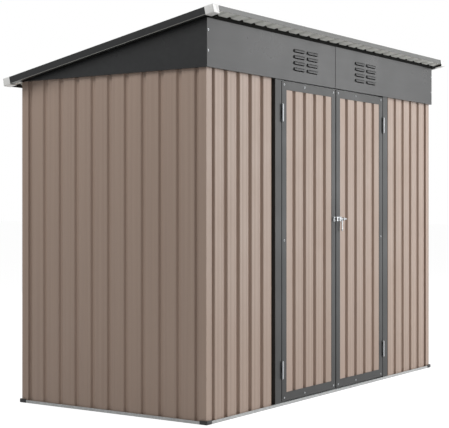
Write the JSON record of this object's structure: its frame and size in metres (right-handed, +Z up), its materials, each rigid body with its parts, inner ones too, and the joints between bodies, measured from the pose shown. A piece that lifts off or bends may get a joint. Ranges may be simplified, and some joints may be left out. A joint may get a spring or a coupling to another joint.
{
  "type": "metal storage shed",
  "caption": "Lean-to metal storage shed with grooved sheet walls, a ribbed single-slope roof, a louvred fascia and outward-opening double doors with a slide bolt.",
  "frame": {"origin": "on the ground, below the middle of the roof's outline", "axes": "+X to the right along the front as seen from outside, +Y from the front to the rear, +Z up"},
  "size_m": [2.414, 1.2598, 1.8318],
  "materials": {
    "brown_paint": "satin",
    "anthracite_paint": "satin",
    "galvanised": "matte",
    "black_plastic": "matte",
    "white_plastic": "matte",
    "zinc": "satin"
  },
  "bodies": {
    "shed": {"base_rail_front": "galvanised", "base_rail_rear": "galvanised", "base_rail_left": "galvanised", "base_rail_right": "galvanised", "corner_feet": "black_plastic", "corner_post_front_left": "brown_paint", "corner_post_front_right": "brown_paint", "corner_post_rear_left": "brown_paint", "corner_post_rear_right": "brown_paint", "wall_left": "brown_paint", "wall_right": "brown_paint", "wall_rear": "brown_paint", "wall_front_left": "brown_paint", "wall_front_right": "brown_paint", "door_jamb_left": "anthracite_paint", "door_jamb_right": "anthracite_paint", "top_rail_front": "galvanised", "top_rail_rear": "galvanised", "top_rail_left": "galvanised", "top_rail_right": "galvanised", "gable_left": "anthracite_paint", "gable_right": "anthracite_paint", "fascia_left": "anthracite_paint", "fascia_right": "anthracite_paint", "rear_fascia": "anthracite_paint", "roof_beams": "galvanised", "roof_sheet_left": "anthracite_paint", "roof_sheet_right": "anthracite_paint", "roof_trim_front": "anthracite_paint", "roof_trim_rear": "anthracite_paint", "roof_trim_left": "anthracite_paint", "roof_trim_right": "anthracite_paint", "roof_corner_caps": "white_plastic", "jamb_hinges_left": "zinc", "jamb_hinges_right": "zinc"},
    "door_left": {"door_left_hinge_stile": "anthracite_paint", "door_left_meeting_stile": "anthracite_paint", "door_left_top_rail": "anthracite_paint", "door_left_bottom_rail": "anthracite_paint", "door_left_panel": "brown_paint", "door_left_hinges": "zinc", "bolt_keeper": "zinc"},
    "door_right": {"door_right_hinge_stile": "anthracite_paint", "door_right_meeting_stile": "anthracite_paint", "door_right_top_rail": "anthracite_paint", "door_right_bottom_rail": "anthracite_paint", "door_right_panel": "brown_paint", "door_right_hinges": "zinc", "bolt_housing": "zinc"},
    "bolt": {"bolt_rod": "zinc"}
  },
  "joints": [
    {"name": "door_left_hinge", "type": "hinge", "parent": "shed", "child": "door_left", "pos_m": [-0.533, -0.564, 0.79], "axis": [0, 0, -1], "range_deg": [0, 120]},
    {"name": "door_right_hinge", "type": "hinge", "parent": "shed", "child": "door_right", "pos_m": [0.533, -0.564, 0.79], "axis": [0, 0, 1], "range_deg": [0, 120]},
    {"name": "bolt_slide", "type": "slide", "parent": "door_right", "child": "bolt", "axis": [-1, 0, 0], "range_m": [0, 0.026]}
  ]
}
